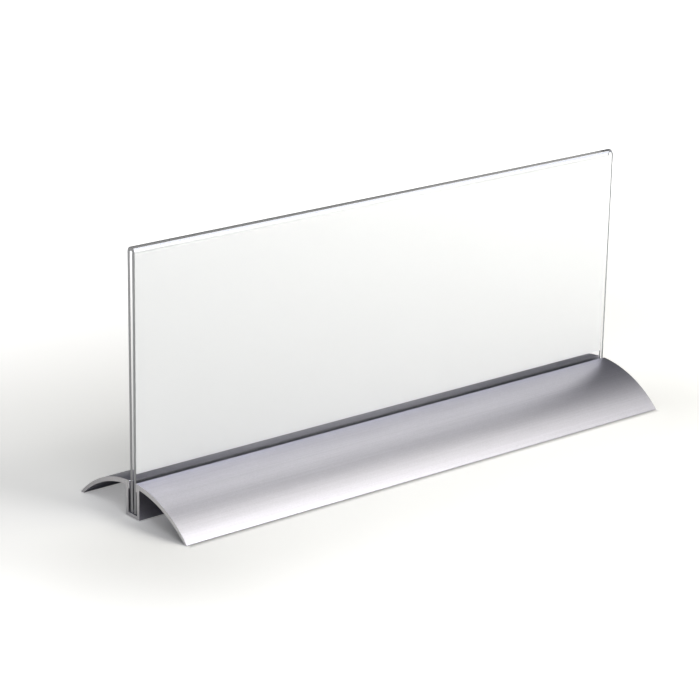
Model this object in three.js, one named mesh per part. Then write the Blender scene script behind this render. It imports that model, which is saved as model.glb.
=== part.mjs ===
// Table sign holder: an extruded aluminium base with two curved wings and a slotted channel,
// a clear sleeve folded from one sheet that stands in the slot, and a folded white card
// between the sleeve's two legs.
//
// Millimetres. X runs along the holder, Y from front to back and Z up. The origin is on the
// table, under the middle of the holder. All three pieces have one section along X.

import * as THREE from 'three';

// Card: a 297 x 210 sheet folded along its length, with the fold up
const cardLength = 297;
const cardHeight = 105;
const cardLeaf = 0.2;
const cardFoldRadius = 0.55;
const cardLeafGap = 0.17;

// Sleeve: one sheet folded over the card
const sheet = 1.9;
const cardSideClearance = 0.15;
const cardEndMargin = 1;
const cardHeadroom = 1.4;

// Base: wings
const baseDepth = 84.5;
const crestHeight = 18;
const wingRootWall = 2.4;
const tipFlat = 2.1;
const tipRadius = 0.25;
const sleeveInset = 0.5;

// Base: channel and slot
const channelOverTable = 0.4;
const channelFloorWall = 1.7;
const channelWall = 1.85;
const channelCornerRadius = 0.15;
const cavityCornerRadius = 0.15;
const rootFillet = 0.3;
const lipDepth = 4.2;
const lipOverhang = 0.85;
const lipEdgeRadius = 0.5;
const slotClearance = 0.2;
const footClearance = 0.3;
const cardOverSlot = 3.7;

// Lengths, from the card outwards
const sleeveLength = cardLength + 2 * cardEndMargin;
const baseLength = sleeveLength + 2 * sleeveInset;

// Heights, from the table upwards
const channelFloorTop = channelOverTable + channelFloorWall;
const sleeveFoot = channelFloorTop + footClearance;
const lipUnderside = crestHeight - lipDepth;
const cardFoot = crestHeight + cardOverSlot;
const cardTop = cardFoot + cardHeight;
const sleeveTop = cardTop + cardHeadroom + sheet;

// Steps of the round stretches
const wingSteps = 36;
const undersideSteps = 16;
const cornerSteps = 4;
const foldSteps = 12;

const { cos, sin, hypot, asin, atan2, PI } = Math;

// Arc through (-halfSpan, 0), (0, rise) and (halfSpan, 0), seen along X.
function archOver(halfSpan, rise) {
  const radius = (halfSpan ** 2 + rise ** 2) / (2 * rise);
  return { radius, centreZ: rise - radius };
}

// Points of an arch from one Y to another, in equal turns.
function archPoints({ radius, centreZ }, fromY, toY, steps) {
  const from = asin(fromY / radius);
  const to = asin(toY / radius);
  return Array.from({ length: steps + 1 }, (_, i) => {
    const turn = from + ((to - from) * i) / steps;
    return { y: radius * sin(turn), z: centreZ + radius * cos(turn) };
  });
}

// Outline in which each corner that has a round is replaced by an arc. An arc never takes
// more than half of the shorter side beside it.
function roundCorners(corners) {
  const rounded = [];
  corners.forEach((corner, i) => {
    const at = new THREE.Vector2(corner.y, corner.z);
    if (!corner.round) {
      rounded.push(at);
      return;
    }
    const last = corners[(i + corners.length - 1) % corners.length];
    const next = corners[(i + 1) % corners.length];
    const back = new THREE.Vector2(last.y, last.z).sub(at);
    const ahead = new THREE.Vector2(next.y, next.z).sub(at);
    const room = Math.min(back.length(), ahead.length()) / 2;
    back.normalize();
    ahead.normalize();
    const halfAngle = Math.acos(back.dot(ahead)) / 2;
    const radius = Math.min(corner.round, room * Math.tan(halfAngle));
    const tangent = radius / Math.tan(halfAngle);
    const centre = back.clone().add(ahead).setLength(radius / sin(halfAngle)).add(at);
    const start = back.clone().multiplyScalar(tangent).add(at).sub(centre);
    const end = ahead.clone().multiplyScalar(tangent).add(at).sub(centre);
    const turn = atan2(start.cross(end), start.dot(end));
    for (let step = 0; step <= cornerSteps; step += 1) {
      const angle = start.angle() + (turn * step) / cornerSteps;
      rounded.push(new THREE.Vector2(cos(angle), sin(angle)).multiplyScalar(radius).add(centre));
    }
  });
  return rounded;
}

// Solid with one section, drawn in Y and Z, along X and centred on it.
function extrudeAlongX(section, length) {
  const geometry = new THREE.ExtrudeGeometry(section, {
    depth: length,
    bevelEnabled: false,
    curveSegments: foldSteps,
  });
  geometry.translate(0, 0, -length / 2);
  const sectionToWorld = new THREE.Matrix4().makeBasis(
    new THREE.Vector3(0, 1, 0),
    new THREE.Vector3(0, 0, 1),
    new THREE.Vector3(1, 0, 0),
  );
  return geometry.applyMatrix4(sectionToWorld);
}

// Two legs that hang from a round fold and lean towards each other. Each inner face is
// tangent to the fold and stands halfGap from the middle plane at height gapZ.
function foldLegs({ topZ, footZ, innerRadius, halfGap, gapZ, thickness }) {
  const outerRadius = innerRadius + thickness;
  const foldZ = topZ - outerRadius;
  const drop = foldZ - gapZ;
  const lean = asin(innerRadius / hypot(halfGap, drop)) - atan2(halfGap, drop);
  const innerHalfAt = (z) => (innerRadius - (foldZ - z) * sin(lean)) / cos(lean);
  return { foldZ, footZ, innerRadius, outerRadius, lean, thickness, innerHalfAt };
}

function foldedSheetSection({ foldZ, footZ, innerRadius, outerRadius, lean, thickness, innerHalfAt }) {
  const innerHalf = innerHalfAt(footZ);
  const outerHalf = innerHalf + thickness / cos(lean);
  const section = new THREE.Shape();
  section.moveTo(outerHalf, footZ);
  section.lineTo(outerRadius * cos(lean), foldZ - outerRadius * sin(lean));
  section.absarc(0, foldZ, outerRadius, -lean, PI + lean, false);
  section.lineTo(-outerHalf, footZ);
  section.lineTo(-innerHalf, footZ);
  section.lineTo(-innerRadius * cos(lean), foldZ - innerRadius * sin(lean));
  section.absarc(0, foldZ, innerRadius, PI + lean, -lean, true);
  section.lineTo(innerHalf, footZ);
  section.closePath();
  return section;
}

const cardLegs = foldLegs({
  topZ: cardTop,
  footZ: cardFoot,
  innerRadius: cardFoldRadius,
  halfGap: cardLeafGap / 2,
  gapZ: cardFoot,
  thickness: cardLeaf,
});

// The sleeve's legs follow the card's leaves from the fold to the card's foot, and go on
// through the slot at the same lean.
const sleeveLegs = foldLegs({
  topZ: sleeveTop,
  footZ: sleeveFoot,
  innerRadius: cardFoldRadius + cardLeaf + cardSideClearance,
  halfGap: cardLeafGap / 2 + cardLeaf + cardSideClearance,
  gapZ: cardFoot,
  thickness: sheet,
});

// The slot clears both legs at the crest, where they are widest within it.
const slotHalf = sleeveLegs.innerHalfAt(crestHeight) + sheet / cos(sleeveLegs.lean) + slotClearance;
const cavityHalf = slotHalf + lipOverhang;
const channelHalf = cavityHalf + channelWall;

// Rear half of the base's section, from the channel's outer bottom corner out along the
// wing's underside, round the tip and back over the wing to the slot and the cavity.
function baseHalfOutline() {
  const wingTop = archOver(baseDepth / 2, crestHeight);
  const underside = archOver(baseDepth / 2 - tipFlat, crestHeight - wingRootWall);
  const below = archPoints(underside, channelHalf, baseDepth / 2 - tipFlat, undersideSteps);
  const above = archPoints(wingTop, baseDepth / 2, slotHalf, wingSteps);
  below[0].round = rootFillet;
  below.at(-1).round = tipRadius;
  above[0].round = tipRadius;
  above.at(-1).round = lipEdgeRadius;
  return [
    { y: channelHalf, z: channelOverTable, round: channelCornerRadius },
    ...below,
    ...above,
    { y: slotHalf, z: lipUnderside, round: cavityCornerRadius },
    { y: cavityHalf, z: lipUnderside, round: cavityCornerRadius },
    { y: cavityHalf, z: channelFloorTop, round: cavityCornerRadius },
  ];
}

function baseSection() {
  const rear = baseHalfOutline();
  const front = rear.map(({ y, z, round }) => ({ y: -y, z, round })).reverse();
  return new THREE.Shape(roundCorners([...rear, ...front]));
}

const satinAluminium = new THREE.MeshStandardMaterial({
  color: 0xb4b4bb,
  roughness: 0.38,
  metalness: 1,
});
const clearAcrylic = new THREE.MeshStandardMaterial({
  color: 0xf2f4f5,
  roughness: 0.04,
  metalness: 0,
  transparent: true,
  opacity: 0.3,
});
const whiteCard = new THREE.MeshStandardMaterial({
  color: 0xf4f4f2,
  roughness: 0.75,
  metalness: 0,
});

function namedMesh(name, geometry, material) {
  const mesh = new THREE.Mesh(geometry, material);
  mesh.name = name;
  return mesh;
}

const baseProfile = namedMesh(
  'base_profile',
  extrudeAlongX(baseSection(), baseLength),
  satinAluminium,
);
const acrylicSleeve = namedMesh(
  'acrylic_sleeve',
  extrudeAlongX(foldedSheetSection(sleeveLegs), sleeveLength),
  clearAcrylic,
);
const insertCard = namedMesh(
  'insert_card',
  extrudeAlongX(foldedSheetSection(cardLegs), cardLength),
  whiteCard,
);

const signHolder = new THREE.Group();
signHolder.add(baseProfile, acrylicSleeve, insertCard);

export default signHolder;
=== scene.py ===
"""Table sign holder: fine edges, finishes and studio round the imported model.

The base is an aluminium extrusion with two curved wings and a slotted channel. A clear sleeve,
folded from one sheet, stands in the slot and holds a folded white card. Each of the three
pieces is modelled here with its small rounds and its sawn or cut ends, at the size and place of
its solid in the frame. Lengths are in metres. X runs along the holder, Y from front to back and
Z up, with the table at Z = 0.
"""

from __future__ import annotations

import logging
import math
from dataclasses import dataclass, field
from enum import Enum

import bmesh
import bpy
from mathutils import Matrix, Vector

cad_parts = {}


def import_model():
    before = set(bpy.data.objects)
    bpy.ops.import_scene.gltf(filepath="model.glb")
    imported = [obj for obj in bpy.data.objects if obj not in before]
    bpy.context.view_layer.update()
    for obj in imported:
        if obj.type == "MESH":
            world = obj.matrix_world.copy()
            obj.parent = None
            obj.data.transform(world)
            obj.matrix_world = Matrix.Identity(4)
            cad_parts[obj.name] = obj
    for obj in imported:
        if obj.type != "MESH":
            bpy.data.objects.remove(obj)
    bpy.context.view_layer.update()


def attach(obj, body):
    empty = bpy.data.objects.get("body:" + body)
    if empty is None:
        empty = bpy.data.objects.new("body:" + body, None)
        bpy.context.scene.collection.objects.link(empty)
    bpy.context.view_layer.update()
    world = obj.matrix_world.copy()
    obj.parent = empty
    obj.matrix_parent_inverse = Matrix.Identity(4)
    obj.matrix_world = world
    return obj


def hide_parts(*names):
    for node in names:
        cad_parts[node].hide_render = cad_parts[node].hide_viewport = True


LOG = logging.getLogger("sign_holder")
MM = 0.001
ALONG_X = Vector((1.0, 0.0, 0.0))
ZERO = (0.0, 0.0, 0.0)

# Middle half of a noise's range
NOISE_LOW = 0.25
NOISE_HIGH = 0.75

# Half the side of a square of size 1
HALF_UNIT = 0.5
# Least share of a normal along X, for a face that is an end
END_FACING = 0.5
# Shares of a normal for a face that looks up or down: least along Z, and most along X
LEVEL_FACING = 0.9
LEVEL_TILT = 0.1
# Points closer than this are one point
MERGE_REACH = 0.001 * MM
# How far off an end face the points of its rim may lie
END_REACH = 0.01 * MM
# Bevel profile of a circular round, and the faces across a long edge and across a rim
CIRCULAR = 0.5
LONG_SEGMENTS = 4
RIM_SEGMENTS = 2


class Body(str, Enum):
    """Bodies of the frame that a piece can ride on."""

    BASE = "base"
    SLEEVE = "sleeve"
    CARD = "card"


class Slot(str, Enum):
    """Material slots of the record."""

    ALUMINIUM = "satin_aluminium"
    ACRYLIC = "clear_acrylic"
    CARD = "white_card"


class Side(Enum):
    """Which faces of an extruded piece a finish goes on."""

    LONG = 0
    END = 1


# Shader nodes


@dataclass
class NodeSheet:
    """A material's or the world's node tree, with short ways to add and join nodes."""

    tree: bpy.types.NodeTree

    def add(self, kind: str, **settings: object) -> bpy.types.Node:
        """Adds a node.

        Args:
            kind: The node's Blender type name.
            **settings: Properties to set on the node.

        Returns:
            The new node.
        """
        node = self.tree.nodes.new(kind)
        for name, value in settings.items():
            setattr(node, name, value)
        return node

    def join(self, start: bpy.types.NodeSocket, end: bpy.types.NodeSocket) -> None:
        """Links an output to an input.

        Args:
            start: The output.
            end: The input.
        """
        self.tree.links.new(start, end)

    def coordinates(self, scale: tuple[float, float, float]) -> bpy.types.NodeSocket:
        """Gives the Object coordinates, stretched.

        Args:
            scale: Factor on each axis.

        Returns:
            The stretched coordinates.
        """
        place = self.add("ShaderNodeTexCoord")
        mapping = self.add("ShaderNodeMapping")
        mapping.inputs["Scale"].default_value = scale
        self.join(place.outputs["Object"], mapping.inputs["Vector"])
        return mapping.outputs["Vector"]

    def noise(
        self,
        scale: tuple[float, float, float],
        detail: float = 2.0,
        roughness: float = 0.5,
    ) -> bpy.types.NodeSocket:
        """Gives a noise pattern on Object coordinates.

        Args:
            scale: Waves per metre on each axis.
            detail: Octaves of finer noise.
            roughness: Weight of the finer octaves.

        Returns:
            The noise as a number from 0 to 1.
        """
        texture = self.add("ShaderNodeTexNoise")
        texture.inputs["Scale"].default_value = 1.0
        texture.inputs["Detail"].default_value = detail
        texture.inputs["Roughness"].default_value = roughness
        self.join(self.coordinates(scale), texture.inputs["Vector"])
        return texture.outputs["Fac"]

    def spread(
        self, value: bpy.types.NodeSocket, low: float, high: float
    ) -> bpy.types.NodeSocket:
        """Maps the middle half of a noise to a range.

        Args:
            value: Noise from 0 to 1.
            low: Result at the range's lower end.
            high: Result at its upper end.

        Returns:
            The mapped number.
        """
        node = self.add("ShaderNodeMapRange")
        node.inputs["From Min"].default_value = NOISE_LOW
        node.inputs["From Max"].default_value = NOISE_HIGH
        node.inputs["To Min"].default_value = low
        node.inputs["To Max"].default_value = high
        self.join(value, node.inputs["Value"])
        return node.outputs["Result"]

    def math(
        self,
        operation: str,
        first: bpy.types.NodeSocket | float,
        second: bpy.types.NodeSocket | float,
    ) -> bpy.types.NodeSocket:
        """Combines two numbers.

        Args:
            operation: The Math node's operation.
            first: Socket or number.
            second: Socket or number.

        Returns:
            The result.
        """
        node = self.add("ShaderNodeMath", operation=operation)
        for value, socket in zip((first, second), node.inputs):
            if isinstance(value, bpy.types.NodeSocket):
                self.join(value, socket)
            else:
                socket.default_value = value
        return node.outputs["Value"]

    def tint(
        self,
        factor: bpy.types.NodeSocket,
        low: tuple[float, float, float],
        high: tuple[float, float, float],
    ) -> bpy.types.NodeSocket:
        """Mixes two colours by a factor.

        Args:
            factor: Number from 0 to 1.
            low: Linear colour at 0.
            high: Linear colour at 1.

        Returns:
            The mixed colour.
        """
        node = self.add("ShaderNodeMix", data_type="RGBA")
        colours = [s for s in node.inputs if s.type == "RGBA"]
        colours[0].default_value = (*low, 1.0)
        colours[1].default_value = (*high, 1.0)
        self.join(factor, node.inputs["Factor"])
        return next(s for s in node.outputs if s.type == "RGBA")

    def ramp(
        self, value: bpy.types.NodeSocket, start: float, end: float
    ) -> bpy.types.NodeSocket:
        """Rises smoothly from 0 to 1 between two values.

        Args:
            value: The number to follow.
            start: Value at which the rise starts.
            end: Value at which it ends.

        Returns:
            A number from 0 to 1.
        """
        node = self.add("ShaderNodeMapRange", interpolation_type="SMOOTHSTEP")
        node.inputs["From Min"].default_value = start
        node.inputs["From Max"].default_value = end
        self.join(value, node.inputs["Value"])
        return node.outputs["Result"]

    def between(
        self,
        factor: bpy.types.NodeSocket,
        low: bpy.types.NodeSocket | float,
        high: bpy.types.NodeSocket | float,
    ) -> bpy.types.NodeSocket:
        """Mixes two numbers by a factor.

        Args:
            factor: Number from 0 to 1.
            low: Socket or number at 0.
            high: Socket or number at 1.

        Returns:
            The mixed number.
        """
        node = self.add("ShaderNodeMix", data_type="FLOAT")
        factors = [s for s in node.inputs if s.type == "VALUE"]
        for value, socket in zip((factor, low, high), factors):
            if isinstance(value, bpy.types.NodeSocket):
                self.join(value, socket)
            else:
                socket.default_value = value
        return node.outputs["Result"]

    def blend(
        self,
        factor: bpy.types.NodeSocket,
        low: bpy.types.NodeSocket,
        high: bpy.types.NodeSocket,
    ) -> bpy.types.NodeSocket:
        """Mixes two shaders by a factor.

        Args:
            factor: Number from 0 to 1.
            low: Shader at 0.
            high: Shader at 1.

        Returns:
            The mixed shader.
        """
        node = self.add("ShaderNodeMixShader")
        for source, socket in zip((factor, low, high), node.inputs):
            self.join(source, socket)
        return node.outputs["Shader"]

    def vector(
        self,
        operation: str,
        first: bpy.types.NodeSocket,
        second: tuple[float, float, float] = ZERO,
    ) -> bpy.types.Node:
        """Works on a vector.

        Args:
            operation: The Vector Math node's operation.
            first: The vector.
            second: A second vector, where the operation takes one.

        Returns:
            The node, whose result is under Vector or Value.
        """
        node = self.add("ShaderNodeVectorMath", operation=operation)
        self.join(first, node.inputs[0])
        node.inputs[1].default_value = second
        return node

    def part(self, vector: bpy.types.NodeSocket, axis: str) -> bpy.types.NodeSocket:
        """Gives one number of a vector.

        Args:
            vector: The vector.
            axis: X, Y or Z.

        Returns:
            The number.
        """
        split = self.add("ShaderNodeSeparateXYZ")
        self.join(vector, split.inputs["Vector"])
        return split.outputs[axis]

    def looked_at(self, path: bpy.types.Node) -> bpy.types.NodeSocket:
        """Tells looks, straight or through the acrylic, from other rays.

        Args:
            path: The Light Path node.

        Returns:
            1 for a look and 0 for another ray.
        """
        straight = path.outputs["Is Camera Ray"]
        return self.math("MAXIMUM", straight, path.outputs["Is Transmission Ray"])

    def bump(
        self, height: bpy.types.NodeSocket, depth: float, strength: float = 1.0
    ) -> bpy.types.NodeSocket:
        """Turns a height into a bent normal.

        Args:
            height: Height pattern from 0 to 1.
            depth: Depth of the pattern in metres.
            strength: Share of the bend that is used.

        Returns:
            The normal.
        """
        node = self.add("ShaderNodeBump")
        node.inputs["Strength"].default_value = strength
        node.inputs["Distance"].default_value = depth
        self.join(height, node.inputs["Height"])
        return node.outputs["Normal"]


def new_material(name: str) -> tuple[bpy.types.Material, NodeSheet, bpy.types.Node]:
    """Makes an empty material.

    Args:
        name: The material's name.

    Returns:
        The material, its node sheet and its output node.
    """
    material = bpy.data.materials.new(name)
    material.use_nodes = True
    material.node_tree.nodes.clear()
    sheet = NodeSheet(material.node_tree)
    return material, sheet, sheet.add("ShaderNodeOutputMaterial")


# Finishes


@dataclass(frozen=True)
class SatinAnodised:
    """Satin anodised aluminium: a fine etched grain over faint lines from the extruding."""

    name: str = "satin_anodised_aluminium"
    dark: tuple[float, float, float] = (0.395, 0.389, 0.436)
    light: tuple[float, float, float] = (0.497, 0.491, 0.549)
    least_roughness: float = 0.36
    most_roughness: float = 0.42
    line_scale: tuple[float, float, float] = (3.0, 1100.0, 1100.0)
    line_detail: float = 3.0
    line_roughness: float = 0.6
    grain_scale: tuple[float, float, float] = (1500.0, 1500.0, 1500.0)
    grain_detail: float = 1.0
    mottle_share: float = 0.5
    line_depth: float = 0.005 * MM
    grain_depth: float = 0.01 * MM

    def material(self) -> bpy.types.Material:
        """Makes the material."""
        material, sheet, output = new_material(self.name)
        metal = sheet.add("ShaderNodeBsdfPrincipled")
        metal.inputs["Metallic"].default_value = 1.0
        lines = sheet.noise(self.line_scale, self.line_detail, self.line_roughness)
        grain = sheet.noise(self.grain_scale, self.grain_detail)
        both = sheet.math("ADD", lines, grain)
        mottle = sheet.math("MULTIPLY", both, self.mottle_share)
        shade = sheet.tint(sheet.spread(mottle, 0.0, 1.0), self.dark, self.light)
        sheet.join(shade, metal.inputs["Base Color"])
        rough = sheet.spread(grain, self.least_roughness, self.most_roughness)
        sheet.join(rough, metal.inputs["Roughness"])
        height = sheet.math(
            "ADD",
            sheet.math("MULTIPLY", lines, self.line_depth / self.grain_depth),
            grain,
        )
        sheet.join(sheet.bump(height, self.grain_depth), metal.inputs["Normal"])
        sheet.join(metal.outputs["BSDF"], output.inputs["Surface"])
        return material


@dataclass(frozen=True)
class SawnAnodised:
    """The sawn ends of the extrusion, anodised after the cut: upright saw lines, paler."""

    name: str = "sawn_anodised_aluminium"
    dark: tuple[float, float, float] = (0.70, 0.685, 0.69)
    light: tuple[float, float, float] = (0.86, 0.845, 0.85)
    least_roughness: float = 0.52
    most_roughness: float = 0.66
    line_scale: tuple[float, float, float] = (800.0, 3800.0, 150.0)
    line_detail: float = 3.0
    line_roughness: float = 0.6
    line_depth: float = 0.01 * MM

    def material(self) -> bpy.types.Material:
        """Makes the material."""
        material, sheet, output = new_material(self.name)
        metal = sheet.add("ShaderNodeBsdfPrincipled")
        metal.inputs["Metallic"].default_value = 1.0
        lines = sheet.noise(self.line_scale, self.line_detail, self.line_roughness)
        shade = sheet.tint(sheet.spread(lines, 0.0, 1.0), self.dark, self.light)
        sheet.join(shade, metal.inputs["Base Color"])
        rough = sheet.spread(lines, self.least_roughness, self.most_roughness)
        sheet.join(rough, metal.inputs["Roughness"])
        sheet.join(sheet.bump(lines, self.line_depth), metal.inputs["Normal"])
        sheet.join(metal.outputs["BSDF"], output.inputs["Surface"])
        return material


@dataclass(frozen=True)
class ClearAcrylic:
    """Clear acrylic sheet, which bends what is seen through it and lets lamps light the card."""

    name: str = "clear_acrylic_sheet"
    colour: tuple[float, float, float] = (0.985, 0.99, 0.995)
    roughness: float = 0.0
    ior: float = 1.491
    clearness: float = 1.0
    ripple_scale: tuple[float, float, float] = (22.0, 22.0, 22.0)
    ripple_detail: float = 2.0
    ripple_depth: float = 0.004 * MM
    lamp_share: tuple[float, float, float] = (0.92, 0.925, 0.93)
    trapped_share: tuple[float, float, float] = (0.52, 0.52, 0.53)
    trapped_depth: int = 4

    def material(self) -> bpy.types.Material:
        """Makes the material."""
        material, sheet, output = new_material(self.name)
        clear = sheet.add("ShaderNodeBsdfPrincipled")
        clear.inputs["Base Color"].default_value = (*self.colour, 1.0)
        clear.inputs["Transmission Weight"].default_value = self.clearness
        clear.inputs["IOR"].default_value = self.ior
        clear.inputs["Roughness"].default_value = self.roughness
        ripple = sheet.noise(self.ripple_scale, self.ripple_detail)
        sheet.join(sheet.bump(ripple, self.ripple_depth), clear.inputs["Normal"])
        open_way = sheet.add("ShaderNodeBsdfTransparent")
        open_way.inputs["Color"].default_value = (*self.lamp_share, 1.0)
        path = sheet.add("ShaderNodeLightPath")
        lamp_ray = sheet.math(
            "MAXIMUM", path.outputs["Is Shadow Ray"], path.outputs["Is Diffuse Ray"]
        )
        way_out = sheet.add("ShaderNodeBsdfTransparent")
        way_out.inputs["Color"].default_value = (*self.trapped_share, 1.0)
        trapped = sheet.math("GREATER_THAN", path.outputs["Ray Depth"], self.trapped_depth)
        seen = sheet.blend(trapped, clear.outputs["BSDF"], way_out.outputs["BSDF"])
        surface = sheet.blend(lamp_ray, seen, open_way.outputs["BSDF"])
        sheet.join(surface, output.inputs["Surface"])
        return material


@dataclass(frozen=True)
class SmoothCard:
    """Plain white card: matt, with a faint fibre and a slightly uneven white."""

    name: str = "plain_white_card"
    dark: tuple[float, float, float] = (0.942, 0.942, 0.942)
    light: tuple[float, float, float] = (0.954, 0.954, 0.954)
    roughness: float = 0.62
    specular: float = 0.3
    cloud_scale: tuple[float, float, float] = (40.0, 40.0, 40.0)
    cloud_detail: float = 3.0
    fibre_scale: tuple[float, float, float] = (1500.0, 1500.0, 5200.0)
    fibre_detail: float = 2.0
    fibre_depth: float = 0.002 * MM
    fibre_strength: float = 0.3

    def material(self) -> bpy.types.Material:
        """Makes the material."""
        material, sheet, output = new_material(self.name)
        card = sheet.add("ShaderNodeBsdfPrincipled")
        card.inputs["Roughness"].default_value = self.roughness
        card.inputs["Specular IOR Level"].default_value = self.specular
        clouds = sheet.noise(self.cloud_scale, self.cloud_detail)
        shade = sheet.tint(sheet.spread(clouds, 0.0, 1.0), self.dark, self.light)
        sheet.join(shade, card.inputs["Base Color"])
        fibre = sheet.noise(self.fibre_scale, self.fibre_detail)
        normal = sheet.bump(fibre, self.fibre_depth, self.fibre_strength)
        sheet.join(normal, card.inputs["Normal"])
        sheet.join(card.outputs["BSDF"], output.inputs["Surface"])
        return material


# Shapes


def sweep(
    mesh: bmesh.types.BMesh,
    start: list[bmesh.types.BMVert] | list[bmesh.types.BMFace],
    centre_z: float,
    turn: float,
    steps: int,
) -> list[bmesh.types.BMVert | bmesh.types.BMEdge | bmesh.types.BMFace]:
    """Sweeps points or faces round a line along X in the middle plane.

    Args:
        mesh: The mesh they belong to.
        start: The points or faces.
        centre_z: Height of the line.
        turn: Angle about X, in radians.
        steps: Number of stretches.

    Returns:
        What the sweep ends with.
    """
    spun = bmesh.ops.spin(
        mesh,
        geom=start,
        cent=(0.0, 0.0, centre_z),
        axis=ALONG_X,
        dvec=ZERO,
        angle=turn,
        steps=steps,
        use_merge=False,
        use_normal_flip=False,
        use_duplicate=False,
    )
    return spun["geom_last"]


def draw_out(
    mesh: bmesh.types.BMesh, faces: list[bmesh.types.BMFace], move: Vector
) -> None:
    """Extrudes faces along a vector.

    Args:
        mesh: The mesh they belong to.
        faces: The faces.
        move: How far, and which way.
    """
    grown = bmesh.ops.extrude_face_region(mesh, geom=faces)
    tips = [v for v in grown["geom"] if isinstance(v, bmesh.types.BMVert)]
    bmesh.ops.translate(mesh, vec=move, verts=tips)


def show(name: str, data: bpy.types.ID) -> bpy.types.Object:
    """Puts a mesh, lamp or camera in the scene.

    Args:
        name: The object's name.
        data: Its mesh, lamp or camera.

    Returns:
        The object.
    """
    shown = bpy.data.objects.new(name, data)
    bpy.context.scene.collection.objects.link(shown)
    return shown


@dataclass
class Outline:
    """A line of points traced in the section's plane, which is square to X."""

    mesh: bmesh.types.BMesh
    tip: bmesh.types.BMVert

    @classmethod
    def start(cls, mesh: bmesh.types.BMesh, x: float, y: float, z: float) -> Outline:
        """Starts an outline at a point.

        Args:
            mesh: The mesh to draw in.
            x: Place along the holder, which the whole outline keeps.
            y: Distance from the middle plane.
            z: Height.

        Returns:
            The outline.
        """
        return cls(mesh, mesh.verts.new((x, y, z)))

    def line_to(self, y: float, z: float) -> None:
        """Draws a straight stretch to a point of the section.

        Args:
            y: Distance of the point from the middle plane.
            z: Height of the point.
        """
        step = bmesh.ops.extrude_vert_indiv(self.mesh, verts=[self.tip])
        self.tip = step["verts"][0]
        self.tip.co.y = y
        self.tip.co.z = z

    def arc(self, centre_z: float, turn: float, steps: int) -> None:
        """Draws an arc round a point of the middle plane.

        Args:
            centre_z: Height of the arc's centre.
            turn: Angle about X, in radians.
            steps: Number of stretches.
        """
        last = sweep(self.mesh, [self.tip], centre_z, turn, steps)
        self.tip = next(v for v in last if isinstance(v, bmesh.types.BMVert))


@dataclass
class Piece:
    """A piece of the holder that stands for one node of the frame.

    Subclasses shape it with bmesh and say what each side is finished with.
    """

    name: str
    node: str
    body: Body
    slot: Slot
    soft_angle: float = math.radians(32)

    def shape(self) -> bmesh.types.BMesh:
        """Builds the piece's mesh in place."""
        raise NotImplementedError

    def finishes(self) -> dict[Side, bpy.types.Material]:
        """Gives the material of each side."""
        raise NotImplementedError

    def build(self) -> bpy.types.Object:
        """Makes the piece, dresses it and lets it ride on its body.

        Returns:
            The finished object.
        """
        shaped = self.shape()
        bmesh.ops.recalc_face_normals(shaped, faces=shaped.faces)
        self.mark_sides(shaped)
        self.smooth(shaped)
        mesh = bpy.data.meshes.new(self.name)
        shaped.to_mesh(mesh)
        shaped.free()
        for _, material in sorted(self.finishes().items(), key=lambda item: item[0].value):
            mesh.materials.append(material)
        piece = show(self.name, mesh)
        shading = piece.modifiers.new("flat_faces_stay_flat", "WEIGHTED_NORMAL")
        shading.mode = "FACE_AREA"
        shading.keep_sharp = True
        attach(piece, self.body.value)
        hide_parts(self.node)
        return piece

    def mark_sides(self, mesh: bmesh.types.BMesh) -> None:
        """Gives the faces across X the end finish and all others the long one.

        Args:
            mesh: The piece's mesh.
        """
        for face in mesh.faces:
            side = Side.END if abs(face.normal.x) > END_FACING else Side.LONG
            face.material_index = side.value

    def smooth(self, mesh: bmesh.types.BMesh) -> None:
        """Shades the mesh smooth, apart from edges sharper than the soft angle.

        Args:
            mesh: The piece's mesh.
        """
        for face in mesh.faces:
            face.smooth = True
        for edge in mesh.edges:
            edge.smooth = edge.calc_face_angle(math.pi) < self.soft_angle


def long_edges(
    mesh: bmesh.types.BMesh, y: float, z: float, reach: float = 0.02 * MM
) -> list[bmesh.types.BMEdge]:
    """Finds the edges along X through a point of the section and its mirror image.

    Args:
        mesh: The extruded mesh.
        y: Distance from the middle plane.
        z: Height.
        reach: How far off an edge may lie.

    Returns:
        The edges found.
    """
    found = []
    for edge in mesh.edges:
        near, far = (v.co for v in edge.verts)
        if abs(near.x - far.x) < MM:
            continue
        if all(abs(abs(p.y) - y) < reach and abs(p.z - z) < reach for p in (near, far)):
            found.append(edge)
    return found


def round_edges(
    mesh: bmesh.types.BMesh,
    edges: list[bmesh.types.BMEdge],
    radius: float,
    segments: int,
) -> None:
    """Rounds edges that all have the same angle.

    Args:
        mesh: The mesh they belong to.
        edges: The edges.
        radius: Radius of the round.
        segments: Number of faces across the round.
    """
    turn = edges[0].calc_face_angle()
    bmesh.ops.bevel(
        mesh,
        geom=edges,
        offset=radius * math.tan(turn / 2),
        offset_type="OFFSET",
        affect="EDGES",
        segments=segments,
        profile=CIRCULAR,
        clamp_overlap=True,
        material=-1,
    )


def end_rims(mesh: bmesh.types.BMesh, half_length: float) -> list[bmesh.types.BMEdge]:
    """Finds the edges round the two end faces.

    Args:
        mesh: The extruded mesh.
        half_length: Distance of an end from the middle.

    Returns:
        The edges of both rims.
    """
    return [
        e
        for e in mesh.edges
        if all(abs(abs(v.co.x) - half_length) < END_REACH for v in e.verts)
    ]


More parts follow.
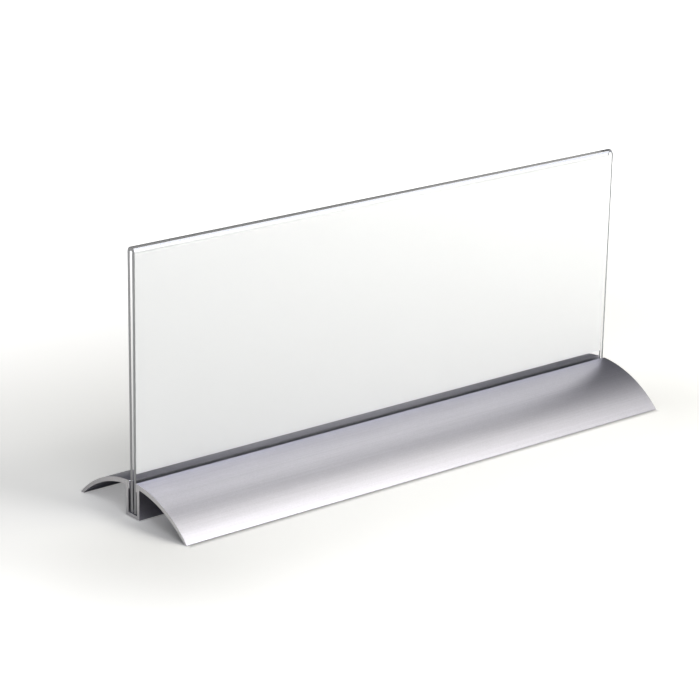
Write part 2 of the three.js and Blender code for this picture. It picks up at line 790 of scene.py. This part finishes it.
@dataclass
class Arch:
    """A circular arch over the middle plane, from (-half_span, 0) over (0, rise)."""

    half_span: float
    rise: float

    @property
    def radius(self) -> float:
        """Radius of the arch."""
        return (self.half_span**2 + self.rise**2) / (2 * self.rise)

    @property
    def centre_z(self) -> float:
        """Height of the arch's centre."""
        return self.rise - self.radius

    def angle_at(self, y: float) -> float:
        """Gives the angle from the top of the arch to a point on it.

        Args:
            y: The point's distance from the middle plane.

        Returns:
            The angle in radians.
        """
        return math.asin(y / self.radius)

    def height_at(self, y: float) -> float:
        """Gives the height of a point on the arch.

        Args:
            y: The point's distance from the middle plane.

        Returns:
            The height.
        """
        return self.centre_z + math.sqrt(self.radius**2 - y**2)


@dataclass
class FoldedSheet(Piece):
    """A sheet folded over a round bend, whose legs lean towards each other and hang down."""

    length: float = 0.0
    thickness: float = 0.0
    top: float = 0.0
    foot: float = 0.0
    inner_radius: float = 0.0
    half_gap: float = 0.0
    gap_height: float = 0.0
    bend_steps: int = 32
    bend_reach: float = 1.0 * MM
    edge_round: float = 0.0
    rim_angle: float = math.radians(60)

    @property
    def bend_height(self) -> float:
        """Height of the bend's centre."""
        return self.top - self.thickness - self.inner_radius

    @property
    def lean(self) -> float:
        """Angle of each leg from upright, in radians."""
        drop = self.bend_height - self.gap_height
        reach = math.hypot(self.half_gap, drop)
        return math.asin(self.inner_radius / reach) - math.atan2(self.half_gap, drop)

    def shape(self) -> bmesh.types.BMesh:
        """Grows the sheet from the foot of its rear leg, over the bend and down in front."""
        mesh = bmesh.new()
        bmesh.ops.create_grid(mesh, x_segments=1, y_segments=1, size=HALF_UNIT)
        bmesh.ops.scale(mesh, vec=(self.length, self.thickness, 1.0), verts=mesh.verts)
        middle = self.inner_radius + self.thickness / 2
        bmesh.ops.translate(mesh, vec=(0.0, middle, 0.0), verts=mesh.verts)
        bmesh.ops.rotate(
            mesh,
            cent=ZERO,
            matrix=Matrix.Rotation(-self.lean, 3, "X"),
            verts=mesh.verts,
        )
        bmesh.ops.translate(mesh, vec=(0.0, 0.0, self.bend_height), verts=mesh.verts)
        leg = (self.bend_height - self.foot) / math.cos(self.lean)
        down_rear = Vector((0.0, -math.sin(self.lean), -math.cos(self.lean)))
        down_front = Vector((0.0, math.sin(self.lean), -math.cos(self.lean)))
        start = mesh.faces[:]
        turn = math.pi + 2 * self.lean
        swept = sweep(mesh, start, self.bend_height, turn, self.bend_steps)
        last = [f for f in swept if isinstance(f, bmesh.types.BMFace)]
        for faces, down in ((start, down_rear), (last, down_front)):
            draw_out(mesh, faces, down * leg)
        inside = [f for f in mesh.faces if self.is_inside(f)]
        bmesh.ops.delete(mesh, geom=inside, context="FACES_ONLY")
        if self.edge_round:
            bmesh.ops.recalc_face_normals(mesh, faces=mesh.faces)
            rims = [e for e in mesh.edges if e.calc_face_angle(0.0) > self.rim_angle]
            round_edges(mesh, rims, self.edge_round, RIM_SEGMENTS)
        return mesh

    def is_inside(self, face: bmesh.types.BMFace) -> bool:
        """Tells the two cross faces that the growing leaves inside the sheet.

        Args:
            face: A face of the sheet.

        Returns:
            True for such a face.
        """
        reach = abs(face.calc_center_median().z - self.bend_height)
        across = abs(face.normal.z) > LEVEL_FACING and abs(face.normal.x) < LEVEL_TILT
        shared = all(len(e.link_faces) > 2 for e in face.edges)
        return across and reach < self.bend_reach and shared


@dataclass
class ClearSleeve(FoldedSheet):
    """The clear sleeve, which stands in the base's slot and is open below and at both ends."""

    name: str = "folded_clear_sleeve"
    node: str = "acrylic_sleeve"
    body: Body = Body.SLEEVE
    slot: Slot = Slot.ACRYLIC
    length: float = 299 * MM
    thickness: float = 1.9 * MM
    top: float = 130 * MM
    foot: float = 2.4 * MM
    inner_radius: float = 0.9 * MM
    half_gap: float = 0.435 * MM
    gap_height: float = 21.7 * MM
    edge_round: float = 0.1 * MM
    faces: ClearAcrylic = field(default_factory=ClearAcrylic)
    # The cut ends are frosted. Their grey colour is painted shade that stands in for the dark
    # seen through the cut ends.
    edges: ClearAcrylic = field(
        default_factory=lambda: ClearAcrylic(
            name="cut_acrylic_edge_painted_shade",
            colour=(0.46, 0.46, 0.475),
            clearness=0.15,
            roughness=0.3,
            ripple_scale=(900.0, 900.0, 60.0),
            ripple_depth=0.01 * MM,
        )
    )

    def finishes(self) -> dict[Side, bpy.types.Material]:
        """Gives the clear faces and the cut ends their materials."""
        return {Side.LONG: self.faces.material(), Side.END: self.edges.material()}


@dataclass
class FoldedCard(FoldedSheet):
    """The white card, folded once along its length, with the fold up."""

    name: str = "folded_white_card"
    node: str = "insert_card"
    body: Body = Body.CARD
    slot: Slot = Slot.CARD
    length: float = 297 * MM
    thickness: float = 0.2 * MM
    top: float = 126.7 * MM
    foot: float = 21.7 * MM
    inner_radius: float = 0.55 * MM
    half_gap: float = 0.085 * MM
    gap_height: float = 21.7 * MM
    finish: SmoothCard = field(default_factory=SmoothCard)

    def finishes(self) -> dict[Side, bpy.types.Material]:
        """Gives the whole card one material."""
        card = self.finish.material()
        return {Side.LONG: card, Side.END: card}


@dataclass
class BaseExtrusion(Piece):
    """The base: two curved wings over the table, and a channel between them with a slot."""

    name: str = "extruded_base"
    node: str = "base_profile"
    body: Body = Body.BASE
    slot: Slot = Slot.ALUMINIUM
    length: float = 300 * MM
    depth: float = 84.5 * MM
    crest: float = 18 * MM
    root_wall: float = 2.4 * MM
    tip_flat: float = 2.1 * MM
    tip_radius: float = 0.3 * MM
    channel_half: float = 5.223 * MM
    channel_foot: float = 0.4 * MM
    cavity_half: float = 3.373 * MM
    cavity_foot: float = 2.1 * MM
    slot_half: float = 2.523 * MM
    lip_underside: float = 13.8 * MM
    lip_radius: float = 0.5 * MM
    root_fillet: float = 0.3 * MM
    channel_radius: float = 0.15 * MM
    cavity_radius: float = 0.15 * MM
    end_round: float = 0.22 * MM
    wing_steps: int = 44
    underside_steps: int = 22
    skin: SatinAnodised = field(default_factory=SatinAnodised)
    ends: SawnAnodised = field(default_factory=SawnAnodised)

    def finishes(self) -> dict[Side, bpy.types.Material]:
        """Gives the skin and the sawn ends their materials."""
        return {Side.LONG: self.skin.material(), Side.END: self.ends.material()}

    def shape(self) -> bmesh.types.BMesh:
        """Traces half of the section, mirrors it, fills it and draws it out along X."""
        mesh = bmesh.new()
        wing = Arch(self.depth / 2, self.crest)
        underside = Arch(self.depth / 2 - self.tip_flat, self.crest - self.root_wall)
        self.trace(mesh, wing, underside)
        bmesh.ops.mirror(
            mesh,
            geom=mesh.verts[:] + mesh.edges[:],
            matrix=Matrix.Identity(4),
            merge_dist=MERGE_REACH,
            axis="Y",
        )
        bmesh.ops.remove_doubles(mesh, verts=mesh.verts, dist=MERGE_REACH)
        filled = bmesh.ops.contextual_create(mesh, geom=mesh.edges)
        draw_out(mesh, filled["faces"], ALONG_X * self.length)
        bmesh.ops.recalc_face_normals(mesh, faces=mesh.faces)
        self.soften(mesh, wing, underside)
        return mesh

    def trace(self, mesh: bmesh.types.BMesh, wing: Arch, underside: Arch) -> None:
        """Traces the rear half of the section.

        Args:
            mesh: The mesh to draw in.
            wing: Arch of the wings' upper face.
            underside: Arch of the wings' lower face.
        """
        pen = Outline.start(mesh, -self.length / 2, 0.0, self.channel_foot)
        pen.line_to(self.channel_half, self.channel_foot)
        pen.line_to(self.channel_half, underside.height_at(self.channel_half))
        turn = underside.angle_at(underside.half_span) - underside.angle_at(self.channel_half)
        pen.arc(underside.centre_z, -turn, self.underside_steps)
        pen.line_to(wing.half_span, 0.0)
        turn = wing.angle_at(wing.half_span) - wing.angle_at(self.slot_half)
        pen.arc(wing.centre_z, turn, self.wing_steps)
        pen.line_to(self.slot_half, self.lip_underside)
        pen.line_to(self.cavity_half, self.lip_underside)
        pen.line_to(self.cavity_half, self.cavity_foot)
        pen.line_to(0.0, self.cavity_foot)

    def soften(self, mesh: bmesh.types.BMesh, wing: Arch, underside: Arch) -> None:
        """Rounds the extrusion's long edges and breaks the edges of its sawn ends.

        Args:
            mesh: The extruded mesh.
            wing: Arch of the wings' upper face.
            underside: Arch of the wings' lower face.
        """
        root = underside.height_at(self.channel_half)
        rounds = (
            (self.channel_half, self.channel_foot, self.channel_radius),
            (self.channel_half, root, self.root_fillet),
            (underside.half_span, 0.0, self.tip_radius),
            (wing.half_span, 0.0, self.tip_radius),
            (self.slot_half, wing.height_at(self.slot_half), self.lip_radius),
            (self.slot_half, self.lip_underside, self.cavity_radius),
            (self.cavity_half, self.lip_underside, self.cavity_radius),
            (self.cavity_half, self.cavity_foot, self.cavity_radius),
        )
        for y, z, radius in rounds:
            round_edges(mesh, long_edges(mesh, y, z), radius, LONG_SEGMENTS)
        round_edges(mesh, end_rims(mesh, self.length / 2), self.end_round, RIM_SEGMENTS)
        # The rounds meet at the tips within a few nanometres, which leaves strips of no width.
        bmesh.ops.remove_doubles(mesh, verts=mesh.verts, dist=MERGE_REACH)


# Studio


@dataclass(frozen=True)
class Softbox:
    """A square soft lamp that faces the holder."""

    name: str
    place: tuple[float, float, float]
    size: float
    power: float
    colour: tuple[float, float, float]
    target: tuple[float, float, float] = (0.0, 0.0, 0.05)

    def hang(self) -> None:
        """Hangs the lamp."""
        data = bpy.data.lights.new(self.name, "AREA")
        data.shape = "SQUARE"
        data.size = self.size
        data.energy = self.power
        data.color = self.colour
        lamp = show(self.name, data)
        lamp.location = self.place
        aim = Vector(self.target) - Vector(self.place)
        lamp.rotation_euler = aim.to_track_quat("-Z", "Y").to_euler()
        lamp.visible_camera = False


@dataclass
class Studio:
    """White floor, soft lamps in front, a dim room, and the camera."""

    floor_size: float = 6.0
    floor_colour: tuple[float, float, float] = (0.97, 0.97, 0.97)
    # Colour and width of the contact shadow painted on the floor along the wings' feet
    contact_shadow_colour: tuple[float, float, float] = (0.42, 0.41, 0.41)
    contact_shadow_reach: float = 4 * MM
    foot_half: tuple[float, float] = (147 * MM, 41.5 * MM)
    holder_half: tuple[float, float, float] = (0.15, 0.042, 0.0)
    front_lift: float = 0.04
    rear_lift: float = 0.27
    far_lift: float = 0.85
    front_reach: tuple[float, float] = (0.0, 0.2)
    rear_reach: tuple[float, float] = (0.1, 0.4)
    front_to_rear: tuple[float, float] = (-0.04, 0.03)
    front_level: float = 0.35
    back_level: float = 0.12
    room_colour: tuple[float, float, float] = (1.0, 1.0, 1.0)
    mirrored_colour: tuple[float, float, float] = (0.93, 0.955, 1.08)
    room_turn: float = 0.3
    focal_length: float = 138.570
    camera_place: tuple[float, float, float] = (-0.81210, -0.94491, 0.46859)
    camera_yaw: float = math.radians(39.9195)
    camera_pitch: float = math.radians(18.5257)
    camera_roll: float = math.radians(0.9623)
    lamps: tuple[Softbox, ...] = (
        Softbox("key_lamp", (0.5, -1.0, 1.1), 0.6, 8.2, (1.0, 0.98, 0.95)),
        Softbox("left_lamp", (-0.5, -0.9, 1.2), 0.7, 4.6, (0.96, 0.978, 1.0)),
        Softbox("top_lamp", (0.5, -0.3, 1.5), 0.45, 1.3, (1.0, 0.98, 0.85)),
        Softbox("near_lamp", (0.5, -0.3, 0.8), 0.4, 1.0, (1.0, 0.978, 0.83)),
        Softbox("low_lamp", (0.55, -0.45, 0.5), 0.4, 0.6, (1.0, 0.975, 0.82)),
        Softbox("card_lamp", (0.3, -0.45, 0.15), 0.2, 0.33, (1.0, 0.98, 0.95)),
    )

    def build(self) -> None:
        """Makes the floor, the room, the lamps and the camera."""
        self.floor()
        self.room()
        for lamp in self.lamps:
            lamp.hang()
        self.camera()

    def floor(self) -> None:
        """Lays a pale floor that glows white away from the holder. Its glow is weaker near the
        holder and weakest in front of it, which paints soft shade round the holder on top of the
        real shadow. A contact shadow is also painted along the feet.
        """
        mesh = bmesh.new()
        bmesh.ops.create_grid(mesh, x_segments=1, y_segments=1, size=self.floor_size / 2)
        data = bpy.data.meshes.new("floor")
        mesh.to_mesh(data)
        mesh.free()
        floor = show("floor", data)
        material, sheet, output = new_material("pale_floor")
        place = sheet.coordinates((1.0, 1.0, 1.0))
        paper = sheet.add("ShaderNodeBsdfDiffuse")
        # Painted contact shadow: the floor's colour darkens along the lines where the wings
        # touch it.
        line = self.painted_contact_shadow(sheet, place)
        shade = sheet.tint(line, self.floor_colour, self.contact_shadow_colour)
        sheet.join(shade, paper.inputs["Color"])
        lift = sheet.add("ShaderNodeEmission")
        away = self.from_holder(sheet, place)
        path = sheet.add("ShaderNodeLightPath")
        far = sheet.ramp(away, *self.rear_reach)
        mirrored = sheet.math("MULTIPLY", path.outputs["Is Glossy Ray"], far)
        seen = sheet.math("MAXIMUM", sheet.looked_at(path), mirrored)
        front = sheet.ramp(away, *self.front_reach)
        # The glow is weakest next to the holder and rises away from it: painted shade round the
        # holder, added to the real shadow of the diffuse floor.
        level = sheet.between(
            sheet.ramp(sheet.part(place, "Y"), *self.front_to_rear),
            sheet.between(front, self.front_lift, self.far_lift),
            sheet.between(far, self.rear_lift, self.far_lift),
        )
        sheet.join(sheet.math("MULTIPLY", seen, level), lift.inputs["Strength"])
        both = sheet.add("ShaderNodeAddShader")
        sheet.join(paper.outputs["BSDF"], both.inputs[0])
        sheet.join(lift.outputs["Emission"], both.inputs[1])
        sheet.join(both.outputs["Shader"], output.inputs["Surface"])
        data.materials.append(material)

    def painted_contact_shadow(
        self, sheet: NodeSheet, place: bpy.types.NodeSocket
    ) -> bpy.types.NodeSocket:
        """Paints a contact shadow along the two lines on which the wings touch the table.

        Args:
            sheet: The floor's node sheet.
            place: Place on the floor.

        Returns:
            1 on the lines, falling to 0 beside them.
        """
        folded = sheet.vector("ABSOLUTE", place).outputs["Vector"]
        half_length, half_depth = self.foot_half
        past_end = sheet.math("SUBTRACT", sheet.part(folded, "X"), half_length)
        offset = sheet.math("SUBTRACT", sheet.part(folded, "Y"), half_depth)
        beside = sheet.math("ABSOLUTE", offset, 0.0)
        reach = sheet.math("MAXIMUM", past_end, beside)
        return sheet.math("SUBTRACT", 1.0, sheet.ramp(reach, 0.0, self.contact_shadow_reach))

    def from_holder(
        self, sheet: NodeSheet, place: bpy.types.NodeSocket
    ) -> bpy.types.NodeSocket:
        """Gives each point's distance from the rectangle that the holder stands on.

        Args:
            sheet: The floor's node sheet.
            place: Place on the floor.

        Returns:
            The distance in metres.
        """
        folded = sheet.vector("ABSOLUTE", place).outputs["Vector"]
        past = sheet.vector("SUBTRACT", folded, self.holder_half).outputs["Vector"]
        outside = sheet.vector("MAXIMUM", past).outputs["Vector"]
        return sheet.vector("LENGTH", outside).outputs["Value"]

    def room(self) -> None:
        """Makes the room.

        It is dim and darker at the back, cool as the metal mirrors it, and white where it is
        looked at.
        """
        world = bpy.data.worlds.new("studio")
        bpy.context.scene.world = world
        world.use_nodes = True
        world.node_tree.nodes.clear()
        sheet = NodeSheet(world.node_tree)
        output = sheet.add("ShaderNodeOutputWorld")
        walls = sheet.add("ShaderNodeBackground")
        place = sheet.add("ShaderNodeTexCoord")
        rearward = sheet.part(place.outputs["Generated"], "Y")
        back = sheet.ramp(rearward, -self.room_turn, self.room_turn)
        level = sheet.between(back, self.front_level, self.back_level)
        path = sheet.add("ShaderNodeLightPath")
        strength = sheet.between(sheet.looked_at(path), level, 1.0)
        sheet.join(strength, walls.inputs["Strength"])
        mirrored = path.outputs["Is Glossy Ray"]
        shade = sheet.tint(mirrored, self.room_colour, self.mirrored_colour)
        sheet.join(shade, walls.inputs["Color"])
        sheet.join(walls.outputs["Background"], output.inputs["Surface"])

    def camera(self) -> None:
        """Sets the camera at the photograph's place and angle."""
        data = bpy.data.cameras.new("camera")
        data.lens = self.focal_length
        camera = show("camera", data)
        turn = (
            Matrix.Rotation(-self.camera_yaw, 4, "Z")
            @ Matrix.Rotation(math.pi / 2 - self.camera_pitch, 4, "X")
            @ Matrix.Rotation(self.camera_roll, 4, "Z")
        )
        camera.matrix_world = Matrix.Translation(self.camera_place) @ turn
        bpy.context.scene.camera = camera


def main() -> None:
    """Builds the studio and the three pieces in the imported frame."""
    logging.basicConfig(level=logging.INFO, format="%(name)s: %(message)s")
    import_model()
    bpy.context.scene.view_settings.view_transform = "Standard"
    Studio().build()
    for maker in (BaseExtrusion(), ClearSleeve(), FoldedCard()):
        piece = maker.build()
        faces = len(piece.data.polygons)
        LOG.info("%s rides on %s with %d faces", piece.name, maker.body.value, faces)


if __name__ == "__main__":
    main()
